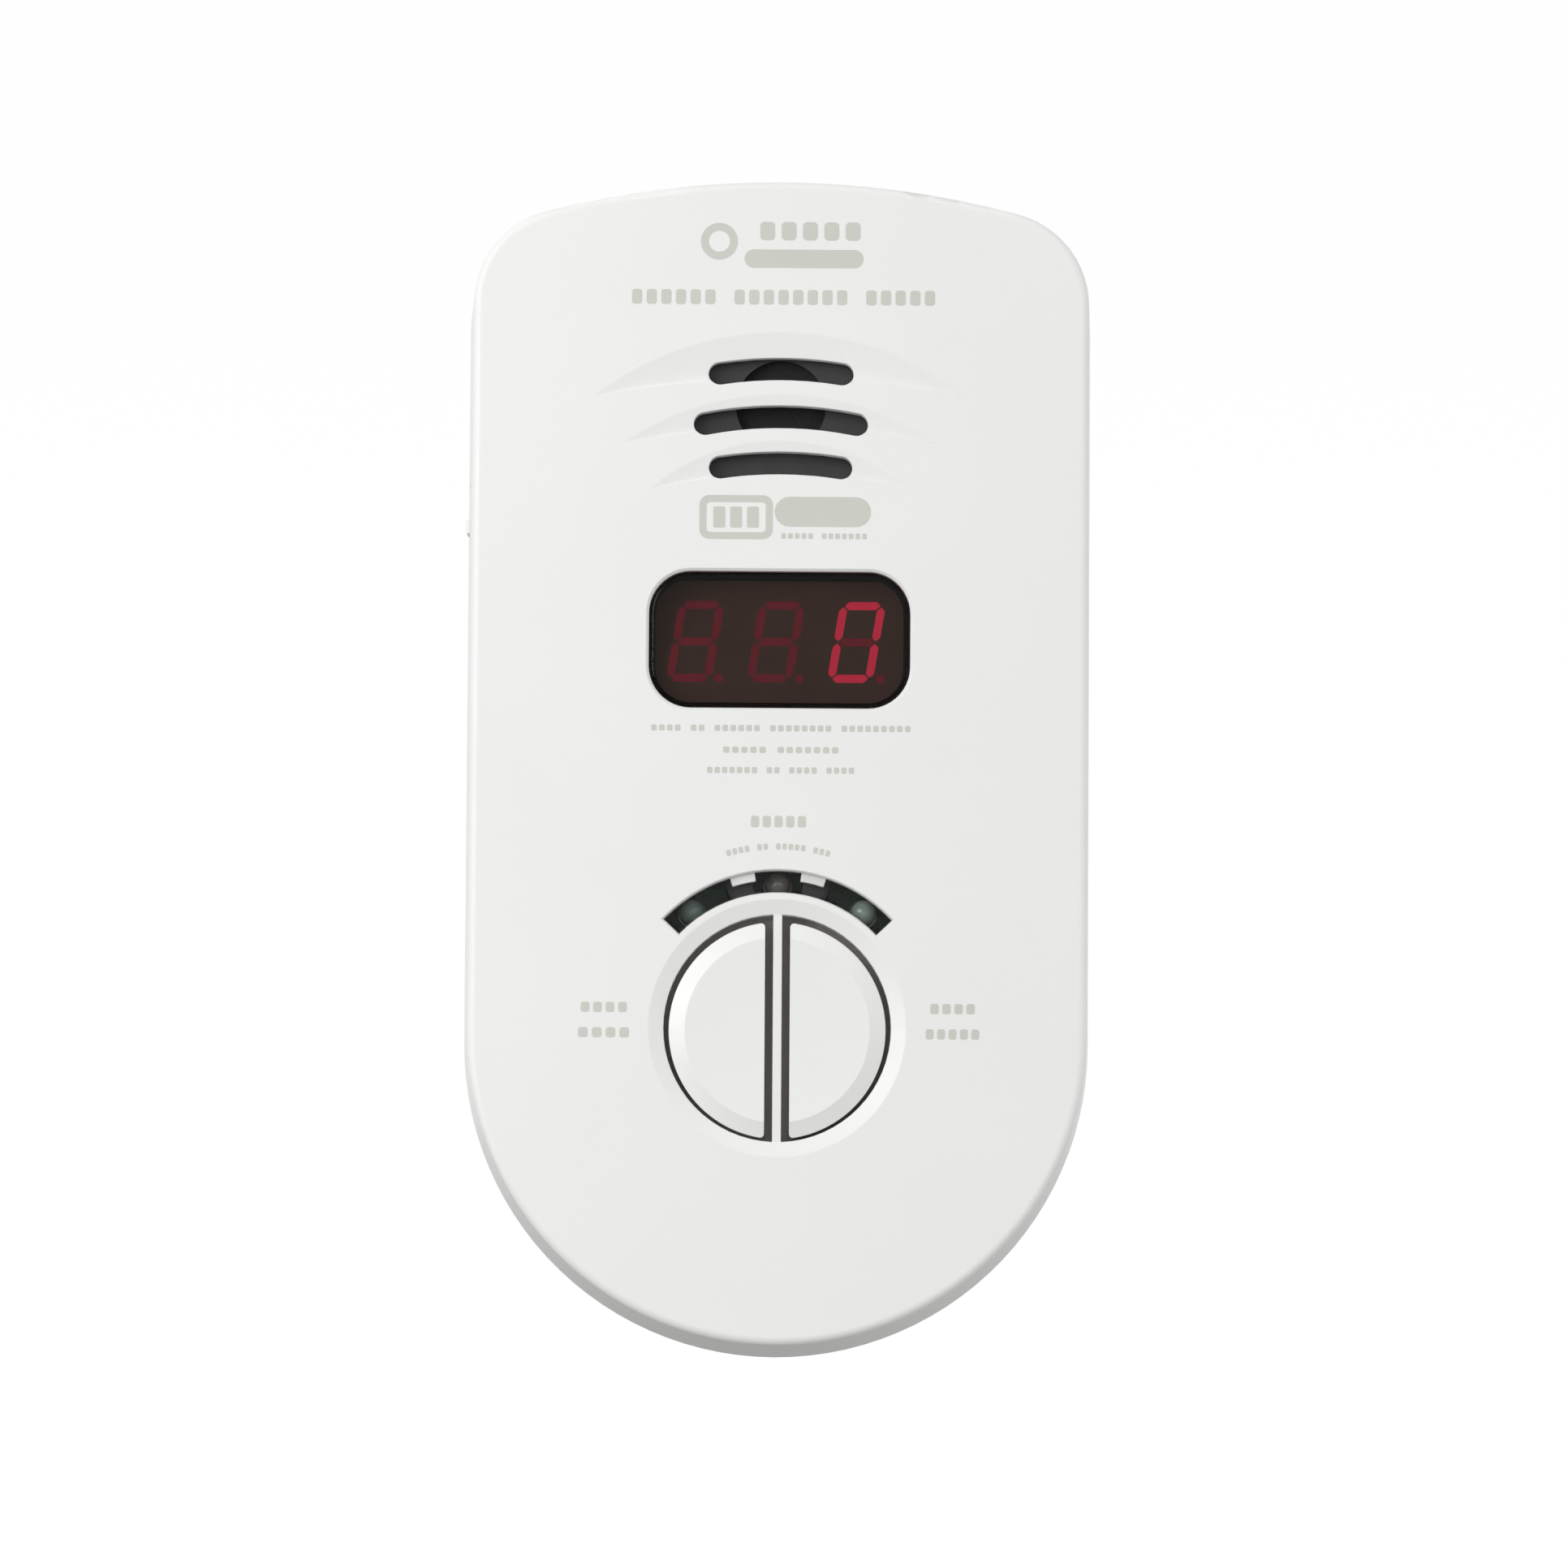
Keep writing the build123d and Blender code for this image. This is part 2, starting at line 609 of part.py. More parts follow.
def digit_segments(centre_x):
    """The seven bars of a digit in the order a to g, then its decimal point."""
    w = (DIGIT_WIDTH - SEGMENT_WIDTH) / 2
    h = (DIGIT_HEIGHT - SEGMENT_WIDTH) / 2
    bars = [(-w, h, w, h), (w, 0, w, h), (w, -h, w, 0), (-w, -h, w, -h),
            (-w, -h, -w, 0), (-w, 0, -w, h), (-w, 0, w, 0)]
    shapes = []
    for bar in bars:
        points = slanted(bar_points(*bar), centre_x)
        shapes.append(make_face(Polyline(points, close=True)))
    dot = slanted([(w + 1.25, -h)], centre_x)[0]
    shapes.append(Pos(*dot) * Circle(0.5))
    return [slab(shape, MODULE_FACE - SEGMENT_DEPTH, MODULE_FACE) for shape in shapes]


def display_parts():
    """The display module, the segments that are lit to read 0, and the dark ones."""
    body = block(0, WINDOW_Z, MODULE_WIDTH, MODULE_HEIGHT, PCB_FRONT, MODULE_FACE)
    for x, z in display_pin_places():
        body = body - rod(x, z, 0.35, PCB_FRONT - 1, PCB_FRONT + 0.6)
    lit = []
    dark = []
    for place in (-1, 0, 1):
        segments = digit_segments(DIGIT_X + place * DIGIT_PITCH)
        if place == 1:
            lit = segments[:6]
            dark = dark + segments[6:]
        else:
            dark = dark + segments
    for segment in lit + dark:
        body = body - segment
    return body, Compound(lit), Compound(dark)


def display_lens():
    """Smoked window: a plate behind the cover with a raised pane in the opening."""
    width = WINDOW_WIDTH + 2 * LENS_FLANGE
    height = WINDOW_HEIGHT + 2 * LENS_FLANGE
    plate = RectangleRounded(width, height, WINDOW_CORNER + LENS_FLANGE)
    pane = RectangleRounded(WINDOW_WIDTH - 0.2, WINDOW_HEIGHT - 0.2, WINDOW_CORNER - 0.1)
    raised = slab(Pos(0, WINDOW_Z) * pane, FRONT_INSIDE - 0.5, LENS_FACE)
    raised = fillet(raised.faces().sort_by(Axis.Y)[0].edges(), 0.5)
    return slab(Pos(0, WINDOW_Z) * plate, LENS_BACK, FRONT_INSIDE) + raised


def display_gasket():
    """Black foam frame between the display module and the lens."""
    outer = RectangleRounded(MODULE_WIDTH + 2.6, MODULE_HEIGHT + 2.6, 4.0)
    frame = Pos(0, WINDOW_Z) * outer - Pos(0, GASKET_RISE) * window_shape(-GASKET_MARGIN)
    return slab(frame, MODULE_FACE, LENS_BACK)


def light_strip():
    """Clear curved strip over the status lights, with a lipped leg behind each of its three parts."""
    edge = LIGHT_HALF_ANGLE - 0.4
    inner = LIGHT_INNER_RADIUS + STRIP_GAP
    outer = LIGHT_OUTER_RADIUS - STRIP_GAP
    strip = slab(around_button(sector(inner, outer, -edge, edge)), STRIP_BACK, STRIP_FACE)
    strip = fillet(strip.faces().sort_by(Axis.Y)[0].edges(), 0.25)
    near_tab = TAB_ANGLE - TAB_HALF_ANGLE - 0.6
    past_tab = TAB_ANGLE + TAB_HALF_ANGLE + 0.6
    for start, end in ((-edge, -past_tab), (-near_tab, near_tab), (past_tab, edge)):
        leg = sector(inner, outer, start, end)
        lip = sector(inner - LEG_LIP, outer + LEG_LIP, start, end)
        strip = strip + slab(around_button(leg), LEG_BACK, STRIP_BACK)
        strip = strip + slab(around_button(lip), LEG_BACK, FRONT_INSIDE)
    return strip


def light_baffle():
    """Black block that keeps the light of each status lamp to its own part of the strip."""
    baffle = sector(BAFFLE_INNER_RADIUS, BAFFLE_OUTER_RADIUS, -BAFFLE_HALF_ANGLE, BAFFLE_HALF_ANGLE)
    for start, end in ((-47, -20), (-10, 10), (20, 47)):
        baffle = baffle - sector(CELL_INNER_RADIUS, CELL_OUTER_RADIUS, start, end)
    return slab(around_button(baffle), PCB_FRONT, LEG_BACK)


def status_led(place):
    """Round lamp with a domed nose and a base rim."""
    x, z = place
    base = rod(x, z, 1.6, PCB_FRONT + 2.2, PCB_FRONT + 3.0)
    stem = rod(x, z, LED_RADIUS, PCB_FRONT + 3.0, PCB_FRONT + 6.0)
    dome = Pos(x, -(PCB_FRONT + 6.0), z) * Sphere(LED_RADIUS)
    return base + stem + dome


def led_leads():
    leads = [rod(x, z, 0.25, PCB_BACK - 1.2, PCB_FRONT + 2.2) for x, z in led_pin_places()]
    return Compound(leads)


def tact_switch_body(side):
    body = block(side * PLUNGER_X, BUTTON_Z, 6.0, 6.0, PCB_FRONT, SWITCH_TOP)
    body = chamfer(body.faces().sort_by(Axis.Y)[0].edges(), 0.3)
    well = rod(side * PLUNGER_X, BUTTON_Z, PLUNGER_RADIUS + 0.1, PCB_FRONT + 1.6, 30)
    return body - well


def tact_plunger(side):
    plunger = rod(side * PLUNGER_X, BUTTON_Z, PLUNGER_RADIUS, 26.4, PLUNGER_TOP)
    return fillet(plunger.faces().sort_by(Axis.Y)[0].edges(), 0.3)


def tact_switch_legs():
    legs = [rod(x, z, 0.3, PCB_BACK - 1.0, PCB_FRONT) for x, z in switch_pin_places()]
    return Compound(legs)


def button(side):
    """Hollow half-round push button: bevelled edge, dished plateau, retaining flange and a post.

    Its outline sits a little below the middle of the hole, and its post stays on the switch.
    """
    centre_z = BUTTON_Z - BUTTON_DROP
    stem = half_disc(BUTTON_RADIUS, BUTTON_FLAT_X, side)
    stem = fillet(stem.vertices(), BUTTON_CORNER)
    cap = slab(Pos(0, centre_z) * stem, BUTTON_FLANGE_FRONT - 0.5, BUTTON_FACE)
    bevel_run = (BUTTON_RADIUS - BUTTON_PLATEAU_RADIUS) / (BUTTON_FACE - BUTTON_RIM)
    envelope = rod(0, centre_z, BUTTON_RADIUS + 1, BUTTON_FLANGE_BACK, BUTTON_RIM)
    envelope = envelope + cone(
        0,
        centre_z,
        BUTTON_RADIUS,
        BUTTON_PLATEAU_RADIUS - bevel_run,
        BUTTON_RIM,
        BUTTON_FACE + 1,
    )
    cap = cap & envelope
    dish_radius = (BUTTON_PLATEAU_RADIUS**2 + BUTTON_DISH**2) / (2 * BUTTON_DISH)
    dish_centre = BUTTON_FACE - BUTTON_DISH + dish_radius
    cap = cap - Pos(0, -dish_centre, centre_z) * Sphere(dish_radius)
    flange = half_disc(BUTTON_FLANGE_RADIUS, BUTTON_FLANGE_X, side)
    cap = cap + slab(Pos(0, centre_z) * flange, BUTTON_FLANGE_BACK, BUTTON_FLANGE_FRONT)
    pocket = half_disc(BUTTON_RADIUS - BUTTON_WALL, BUTTON_FLAT_X + BUTTON_WALL, side)
    cap = cap - slab(Pos(0, centre_z) * pocket, BUTTON_FLANGE_BACK - 1, BUTTON_INSIDE)
    post_end = PLUNGER_TOP + POST_GAP
    post = rod(side * PLUNGER_X, BUTTON_Z, 2.0, post_end, BUTTON_INSIDE + 0.1)
    for turn in (0, 90):
        web = Pos(side * PLUNGER_X, BUTTON_Z) * Rotation(0, 0, turn) * Rectangle(7.0, 0.9)
        post = post + slab(web, post_end + 1.2, BUTTON_INSIDE + 0.1)
    return cap + post


def button_seal(side):
    """Soft black lining at the back of the gap round one half button, which slides through it."""
    half = half_disc(BUTTON_HOLE_RADIUS - 0.02, BAR_WIDTH / 2 + 0.02, side)
    hole = half_disc(BUTTON_RADIUS + SEAL_GAP, BUTTON_FLAT_X - SEAL_GAP, side)
    lining = around_button(half) - Pos(0, BUTTON_Z - BUTTON_DROP) * hole
    return slab(lining, COLLAR_BACK, COLLAR_BACK + SEAL_THICKNESS)


def button_seals():
    return Compound([button_seal(-1), button_seal(1)])


# ---- Sounder ----


def sounder_horn():
    """Black resonator cup with a round sound hole towards the slots."""
    cup = rod(0, SOUNDER_Z, SOUNDER_RADIUS, HORN_BACK, HORN_FACE)
    cup = cup - rod(0, SOUNDER_Z, SOUNDER_RADIUS - SOUNDER_WALL, HORN_BACK - 1, HORN_INSIDE)
    cup = cup - rod(0, SOUNDER_Z, SOUND_HOLE_RADIUS, HORN_INSIDE - 1, HORN_FACE + 1)
    return cup + ring_slab(SOUNDER_RADIUS - 1.0, 12.2, PIEZO_FRONT, PIEZO_FRONT + 0.8)


def sounder_mesh():
    """Black cloth behind the sound hole that keeps dust and insects out."""
    return rod(0, SOUNDER_Z, SOUND_HOLE_RADIUS + 2.0, HORN_INSIDE - MESH_THICKNESS, HORN_INSIDE)


def ring_slab(outer, inner, low, high):
    """Flat ring about the sounder's axis."""
    return slab(Pos(0, SOUNDER_Z) * (Circle(outer) - Circle(inner)), low, high)


def sounder_base():
    """Tray that closes the cup from behind and stands on the board."""
    base = rod(0, SOUNDER_Z, SOUNDER_RADIUS, 25.6, HORN_BACK)
    base = base - rod(6.0, SOUNDER_Z - 6.0, 1.6, 25.0, 28.0)
    for angle in (90, 210, 330):
        turn = math.radians(angle)
        x = 13.0 * math.cos(turn)
        z = SOUNDER_Z + 13.0 * math.sin(turn)
        base = base + rod(x, z, 1.4, PCB_FRONT, 25.8)
    return base


def piezo_disc():
    return rod(0, SOUNDER_Z, PIEZO_RADIUS, PIEZO_FRONT - PIEZO_THICKNESS, PIEZO_FRONT)


def piezo_element():
    face = PIEZO_FRONT - PIEZO_THICKNESS
    return rod(0, SOUNDER_Z, CERAMIC_RADIUS, face - PIEZO_THICKNESS, face)


def sounder_gasket():
    return ring_slab(SOUNDER_RADIUS - 0.2, 13.6, HORN_FACE, FRONT_INSIDE)


def wire(points, radius, bend):
    """Insulated wire along straight runs joined by arcs."""
    path = FilletPolyline(*points, radius=bend)
    start = Plane(origin=path @ 0, z_dir=path % 0)
    return sweep(start * Circle(radius), path=path)


def piezo_leads():
    """Two stiff wires from the ceramic to the board, through the hole in the sounder's base."""
    end = PIEZO_FRONT - 2 * PIEZO_THICKNESS
    leads = [rod(6.0 + shift, SOUNDER_Z - 6.0, 0.35, PCB_FRONT, end) for shift in (-0.75, 0.75)]
    return Compound(leads)


# ---- Carbon monoxide sensor ----


def sensor_can():
    """Electrochemical cell body on the rear of the board."""
    can = rod(0, SENSOR_Z, SENSOR_RADIUS, 9.4, PCB_BACK - 0.6)
    can = can - ring_around_sensor(SENSOR_RADIUS + 1, SENSOR_RADIUS - 0.5, 18.6, 19.4)
    return can - rod(0, SENSOR_Z, 7.5, 9.0, 10.4)


def ring_around_sensor(outer, inner, low, high):
    return slab(Pos(0, SENSOR_Z) * (Circle(outer) - Circle(inner)), low, high)


def sensor_filter():
    """Charcoal filter disc under the cap."""
    return rod(0, SENSOR_Z, 7.3, 9.4, 10.3)


def sensor_cap():
    """Metal cap with the gas inlet holes, facing the vents of the rear cover."""
    cap = rod(0, SENSOR_Z, SENSOR_RADIUS + 0.5, 8.2, 12.0)
    cap = cap - rod(0, SENSOR_Z, SENSOR_RADIUS + 0.03, 9.4, 13.0)
    cap = cap - rod(0, SENSOR_Z, 1.2, 7.0, 10.0)
    for index in range(6):
        turn = math.radians(60 * index)
        hole = rod(4.0 * math.cos(turn), SENSOR_Z + 4.0 * math.sin(turn), 0.7, 7.0, 10.0)
        cap = cap - hole
    return cap


def sensor_pins():
    pins = [rod(x, z, 0.4, PCB_BACK - 0.6, PCB_FRONT + 0.8) for x, z in sensor_pin_places()]
    return Compound(pins)


# ---- Backup battery ----


def along_x(radius, x_low, x_high, z=BATTERY_Z, depth=BATTERY_DEPTH):
    """Cylinder lying along X."""
    bar = Cylinder(radius, x_high - x_low, rotation=(0, 90, 0))
    return Pos((x_low + x_high) / 2, -depth, z) * bar


def battery_cell():
    """Lithium cell in its sleeve, with a raised positive end."""
    half = BATTERY_LENGTH / 2
    cell = along_x(BATTERY_RADIUS, -half, half)
    cell = fillet(cell.edges().filter_by(GeomType.CIRCLE), 0.7)
    return cell + along_x(3.2, half - 0.1, half + 1.1)


def battery_tabs():
    """Welded nickel strips at both ends of the cell."""
    half = BATTERY_LENGTH / 2
    right = Pos(half + 1.2, -BATTERY_DEPTH, BATTERY_Z - 1.5) * Box(0.2, 4.0, 10.0)
    left = Pos(-half - 0.1, -BATTERY_DEPTH, BATTERY_Z - 1.5) * Box(0.2, 4.0, 10.0)
    return Compound([right, left])


def battery_connector():
    """Two-way wire header on the rear of the board."""
    shell = block(CONNECTOR_X, CONNECTOR_Z, 6.0, 8.0, 15.4, PCB_BACK)
    return shell - block(CONNECTOR_X, CONNECTOR_Z, 4.4, 6.4, 14, 20.0)


def battery_leads():
    """Red and black wires from the welded tabs to the header."""
    half = BATTERY_LENGTH / 2
    radius = 0.55
    red_z = CONNECTOR_Z + 1.6
    black_z = CONNECTOR_Z - 1.6
    under_z = BATTERY_Z - BATTERY_RADIUS - 4.0
    red_x = half + 1.3 + radius
    black_x = -half - 0.2 - radius
    red = [
        (red_x, -BATTERY_DEPTH, BATTERY_Z - 2.0),
        (red_x, -BATTERY_DEPTH, red_z),
        (CONNECTOR_X, -BATTERY_DEPTH, red_z),
        (CONNECTOR_X, -19.8, red_z),
    ]
    black = [
        (black_x, -BATTERY_DEPTH, BATTERY_Z - 2.0),
        (black_x, -BATTERY_DEPTH, under_z),
        (CONNECTOR_X - 4.0, -BATTERY_DEPTH, under_z),
        (CONNECTOR_X, -BATTERY_DEPTH - 1.1, black_z),
        (CONNECTOR_X, -19.8, black_z),
    ]
    return wire(red, radius, 1.4), wire(black, radius, 1.4)


def battery_pad():
    """Foam strip that holds the cell in its cradle."""
    return block(0, BATTERY_Z, 15.0, 7.0, BATTERY_DEPTH + BATTERY_RADIUS + 0.05, PCB_BACK)


# ---- Power supply and logic ----


def mains_capacitor():
    """Box film capacitor that drops the mains voltage."""
    box = block(21.5, 16.0, 8.5, 18.0, 7.6, PCB_BACK - 0.4)
    return fillet(box.edges().filter_by(Axis.Y), 0.6)


def filter_capacitors():
    """Two upright electrolytic capacitors with a rolled groove near the base."""
    cans = []
    for x, z in ((-18.5, 19.0), (-7.0, 21.0)):
        can = rod(x, z, 5.0, 6.8, PCB_BACK - 0.4)
        can = fillet(can.faces().sort_by(Axis.Y)[-1].edges(), 0.6)
        groove = slab(Pos(x, z) * (Circle(6) - Circle(4.6)), 19.4, 20.4)
        cans.append(can - groove)
    return Compound(cans)


def varistor():
    """Disc surge arrester standing on edge."""
    disc = Cylinder(5.0, 3.8, rotation=(0, 90, 0))
    disc = fillet(disc.edges().filter_by(GeomType.CIRCLE), 1.2)
    return Pos(7.0, -(PCB_BACK - 6.2), 21.0) * disc


def fuse_resistor():
    """Fusible wire-wound resistor lying on the board."""
    return along_x(1.8, 12.0, 22.0, z=-15.0, depth=PCB_BACK - 2.6)


def rectifier_diodes():
    diodes = []
    for index in range(4):
        x = -24.0 + 3.6 * index
        diodes.append(Pos(x, -(PCB_BACK - 1.6), -14.0) * Cylinder(1.3, 5.0))
    return Compound(diodes)


def boost_coil():
    """Drum coil that raises the voltage for the sounder."""
    drum = rod(0, 36.0, 4.5, 14.4, PCB_BACK - 0.2)
    groove = slab(Pos(0, 36.0) * (Circle(6) - Circle(3.4)), 15.6, 21.0)
    return drum - groove


def coil_winding():
    return slab(Pos(0, 36.0) * (Circle(4.2) - Circle(3.45)), 15.65, 20.95)


def microcontroller():
    """Square logic chip on the front of the board."""
    chip = block(17.5, -24.5, 10.0, 10.0, PCB_FRONT + 0.2, PCB_FRONT + 1.6)
    return chamfer(chip.faces().sort_by(Axis.Y)[0].edges(), 0.3)


def chip_legs():
    legs = []
    for index in range(11):
        step = -4.0 + 0.8 * index
        for side in (-1, 1):
            legs.append(block(17.5 + side * 5.6, -24.5 + step, 1.2, 0.35, PCB_FRONT, PCB_FRONT + 0.7))
            legs.append(block(17.5 + step, -24.5 + side * 5.6, 0.35, 1.2, PCB_FRONT, PCB_FRONT + 0.7))
    return Compound(legs)


def chip_resistors():
    """Rows of small surface-mount parts on the front of the board."""
    chips = []
    for row in range(3):
        for column in range(5):
            x = -25.0 + 3.4 * column
            z = -19.0 - 3.4 * row
            if math.hypot(x + 27.0, z + 22.0) > 4.5:
                chips.append(block(x, z, 2.0, 1.25, PCB_FRONT, PCB_FRONT + 0.6))
    return Compound(chips)


def all_nodes():
    """Every piece by the name a person would give it."""
    module, lit, dark = display_parts()
    green_place, red_place, amber_place = led_places()
    red_lead, black_lead = battery_leads()
    return {
        "front_cover": front_cover(),
        "rear_cover": rear_cover(),
        "case_screws": case_screws(),
        "rating_label": rating_label(),
        "plug_insert": plug_insert(),
        "plug_blades": plug_blades(),
        "blade_contacts": blade_contacts(),
        "test_button": button(-1),
        "peak_button": button(1),
        "button_seals": button_seals(),
        "test_switch_plunger": tact_plunger(-1),
        "peak_switch_plunger": tact_plunger(1),
        "test_switch_body": tact_switch_body(-1),
        "peak_switch_body": tact_switch_body(1),
        "tact_switch_legs": tact_switch_legs(),
        "display_lens": display_lens(),
        "display_gasket": display_gasket(),
        "display_module": module,
        "display_segments_lit": lit,
        "display_segments_dark": dark,
        "display_pins": display_pins(),
        "light_strip": light_strip(),
        "light_baffle": light_baffle(),
        "green_led": status_led(green_place),
        "red_led": status_led(red_place),
        "amber_led": status_led(amber_place),
        "led_leads": led_leads(),
        "sounder_horn": sounder_horn(),
        "sounder_mesh": sounder_mesh(),
        "sounder_base": sounder_base(),
        "sounder_gasket": sounder_gasket(),
        "piezo_disc": piezo_disc(),
        "piezo_element": piezo_element(),
        "piezo_leads": piezo_leads(),
        "main_pcb": main_pcb(),
        "pcb_screws": pcb_screws(),
        "sensor_can": sensor_can(),
        "sensor_filter": sensor_filter(),
        "sensor_cap": sensor_cap(),
        "sensor_pins": sensor_pins(),
        "battery_cell": battery_cell(),
        "battery_tabs": battery_tabs(),
        "battery_lead_red": red_lead,
        "battery_lead_black": black_lead,
        "battery_connector": battery_connector(),
        "battery_pad": battery_pad(),
        "battery_slider": switch_slider(),
        "battery_switch_actuator": switch_actuator(),
        "battery_switch_body": switch_body(),
        "mains_capacitor": mains_capacitor(),
        "filter_capacitors": filter_capacitors(),
        "varistor": varistor(),
        "fuse_resistor": fuse_resistor(),
        "rectifier_diodes": rectifier_diodes(),
        "boost_coil_core": boost_coil(),
        "boost_coil_winding": coil_winding(),
        "microcontroller": microcontroller(),
        "microcontroller_legs": chip_legs(),
        "chip_resistors": chip_resistors(),
    }


os.makedirs("parts", exist_ok=True)
for name, shape in all_nodes().items():
    export_step(shape, f"parts/{name}.step")
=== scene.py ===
import json
import math

import bmesh
import bpy
from mathutils import Matrix, Vector


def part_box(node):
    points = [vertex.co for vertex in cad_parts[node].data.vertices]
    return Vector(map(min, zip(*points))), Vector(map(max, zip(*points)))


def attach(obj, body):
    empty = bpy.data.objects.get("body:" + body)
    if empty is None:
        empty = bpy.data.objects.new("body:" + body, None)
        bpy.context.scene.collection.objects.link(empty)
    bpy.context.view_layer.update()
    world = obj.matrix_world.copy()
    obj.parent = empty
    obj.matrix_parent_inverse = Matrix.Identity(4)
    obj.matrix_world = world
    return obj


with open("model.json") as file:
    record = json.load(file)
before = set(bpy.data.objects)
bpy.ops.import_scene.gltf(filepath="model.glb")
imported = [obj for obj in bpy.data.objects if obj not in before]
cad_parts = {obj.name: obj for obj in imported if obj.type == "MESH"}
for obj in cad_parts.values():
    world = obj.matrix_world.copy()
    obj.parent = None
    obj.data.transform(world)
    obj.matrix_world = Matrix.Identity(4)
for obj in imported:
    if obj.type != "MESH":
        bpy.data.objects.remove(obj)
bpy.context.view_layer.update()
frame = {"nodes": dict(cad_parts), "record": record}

MM = 0.001

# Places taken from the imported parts, in metres.
COVER_LOW, COVER_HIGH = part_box("front_cover")
FACE_Y = COVER_LOW.y
MIDDLE_Z = (COVER_LOW.z + COVER_HIGH.z) / 2
BUTTON_LOW, BUTTON_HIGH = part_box("test_button")
BUTTON_Z = (BUTTON_LOW.z + BUTTON_HIGH.z) / 2
LABEL_LOW, LABEL_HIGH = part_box("rating_label")


# ---- Material nodes ----


class Nodes:
    """Short names for the nodes of one material."""

    def __init__(self, name):
        self.material = bpy.data.materials.new(name)
        self.material.use_nodes = True
        self.tree = self.material.node_tree
        self.tree.nodes.clear()
        self.output = self.add("ShaderNodeOutputMaterial")
        self.place = self.add("ShaderNodeTexCoord").outputs["Object"]

    def add(self, kind, **values):
        node = self.tree.nodes.new(kind)
        for key, value in values.items():
            if isinstance(value, str):
                setattr(node, key, value)
            else:
                node.inputs[key.replace("_", " ")].default_value = value
        return node

    def join(self, source, target):
        self.tree.links.new(source, target)

    def stretched(self, scale):
        """Object coordinates scaled along each axis, for brushed or ribbed patterns."""
        mapping = self.add("ShaderNodeMapping", Scale=scale)
        self.join(self.place, mapping.inputs["Vector"])
        return mapping.outputs["Vector"]

    def noise(self, per_mm, detail=2.0, roughness=0.5, place=None):
        """Noise with a stated number of features to the millimetre."""
        node = self.add("ShaderNodeTexNoise", Scale=per_mm / MM, Detail=detail, Roughness=roughness)
        self.join(place or self.place, node.inputs["Vector"])
        return node.outputs["Fac"]

    def spread(self, value, low, high, start=0.3, end=0.7):
        """A noise value taken to a range."""
        node = self.add("ShaderNodeMapRange", From_Min=start, From_Max=end, To_Min=low, To_Max=high)
        self.join(value, node.inputs["Value"])
        return node.outputs["Result"]

    def tint(self, value, dark, light, start=0.3, end=0.7):
        """A noise value turned into a colour between two."""
        ramp = self.add("ShaderNodeValToRGB")
        ramp.color_ramp.elements[0].position = start
        ramp.color_ramp.elements[0].color = (*dark, 1)
        ramp.color_ramp.elements[1].position = end
        ramp.color_ramp.elements[1].color = (*light, 1)
        self.join(value, ramp.inputs["Fac"])
        return ramp.outputs["Color"]

    def bump(self, height, depth_mm, edge_mm=0.0):
        """Surface grain of a stated depth, over edges that look rounded by edge_mm."""
        node = self.add("ShaderNodeBump", Strength=1.0, Distance=depth_mm * MM)
        self.join(height, node.inputs["Height"])
        if edge_mm:
            bevel = self.add("ShaderNodeBevel", Radius=edge_mm * MM)
            self.join(bevel.outputs["Normal"], node.inputs["Normal"])
        return node.outputs["Normal"]

    def finish(self, shader):
        self.join(shader, self.output.inputs["Surface"])
        return self.material


def shade(colour, factor):
    return tuple(min(1.0, part * factor) for part in colour)


def surface(
    name, colour, roughness, variation=0.03, patch_per_mm=0.05, grain_per_mm=6.0, grain_mm=0.004,
    rough_variation=0.06, metallic=0.0, brushed=None, edge_mm=0.0, **sockets,
):
    """Solid material: slow colour change, roughness change and a fine grain in the surface."""
    nodes = Nodes(name)
    shader = nodes.add("ShaderNodeBsdfPrincipled", Metallic=metallic, **sockets)
    place = nodes.stretched(brushed) if brushed else nodes.place
    patches = nodes.noise(patch_per_mm, detail=3.0)
    grain = nodes.noise(grain_per_mm, detail=2.0, place=place)
    nodes.join(
        nodes.tint(patches, shade(colour, 1 - variation), shade(colour, 1 + variation)),
        shader.inputs["Base Color"],
    )
    rough = nodes.noise(patch_per_mm * 8, detail=3.0, place=place)
    low = max(0.02, roughness - rough_variation)
    nodes.join(nodes.spread(rough, low, roughness + rough_variation), shader.inputs["Roughness"])
    nodes.join(nodes.bump(grain, grain_mm, edge_mm), shader.inputs["Normal"])
    return nodes.finish(shader.outputs["BSDF"])


def window(name, clear, coating):
    """Tinted clear plastic: what is behind shows through its tint, under a gloss that grows at a slant.

    A low coating value stands for a face with little reflection. Only outer faces are glossy.
    """
    nodes = Nodes(name)
    fresnel = nodes.add("ShaderNodeFresnel", IOR=coating)
    through = nodes.add("ShaderNodeBsdfTransparent")
    haze = nodes.noise(0.08, detail=3.0)
    nodes.join(nodes.tint(haze, shade(clear, 0.97), shade(clear, 1.03)), through.inputs["Color"])
    gloss = nodes.add("ShaderNodeBsdfGlossy", Roughness=0.08)
    inside = nodes.add("ShaderNodeNewGeometry").outputs["Backfacing"]
    outer_gloss = nodes.add("ShaderNodeMapRange", To_Max=0.0)
    nodes.join(inside, outer_gloss.inputs["Value"])
    nodes.join(fresnel.outputs["Fac"], outer_gloss.inputs["To Min"])
    mix = nodes.add("ShaderNodeMixShader")
    nodes.join(outer_gloss.outputs["Result"], mix.inputs[0])
    nodes.join(through.outputs["BSDF"], mix.inputs[1])
    nodes.join(gloss.outputs["BSDF"], mix.inputs[2])
    return nodes.finish(mix.outputs["Shader"])


